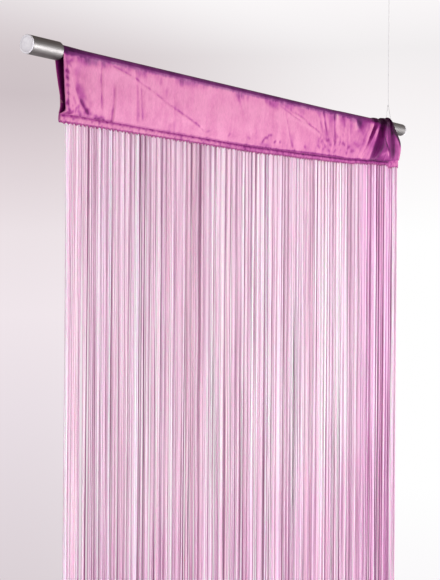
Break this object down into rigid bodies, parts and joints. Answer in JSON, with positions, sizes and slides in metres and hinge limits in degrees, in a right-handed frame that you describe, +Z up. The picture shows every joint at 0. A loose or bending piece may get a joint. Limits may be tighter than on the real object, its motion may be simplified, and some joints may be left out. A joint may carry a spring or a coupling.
{
  "type": "string curtain on a hanging rod",
  "caption": "Pink string curtain: a satin header with a rod pocket and a dense fringe of long strings, on a metal rod with end sleeves and caps, hung by a clear line from the ceiling.",
  "frame": {"origin": "middle of the rod, on its axis", "axes": "+X along the rod, -Y towards the front of the curtain, +Z up"},
  "size_m": [1.067, 0.0303, 2.2934],
  "materials": {
    "satin_metal": "satin, finely brushed along the rod",
    "pale_plastic": "pale grey-lilac moulded cap, slightly satin",
    "header_satin": "pink satin with a soft sheen, deeper purple in its shadows and folds",
    "strings": "thin soft strings from pale pink to mauve, slightly see-through",
    "clear_line": "clear line, smooth and glossy"
  },
  "bodies": {
    "root": {"rod_tube": "satin_metal", "left_sleeve": "satin_metal", "right_sleeve": "satin_metal", "left_cap": "pale_plastic", "right_cap": "pale_plastic", "header": "header_satin", "string_comb": "strings", "line_loop": "clear_line", "hanging_line": "clear_line", "line_knot": "clear_line", "ceiling_fitting": "satin_metal"}
  },
  "joints": []
}
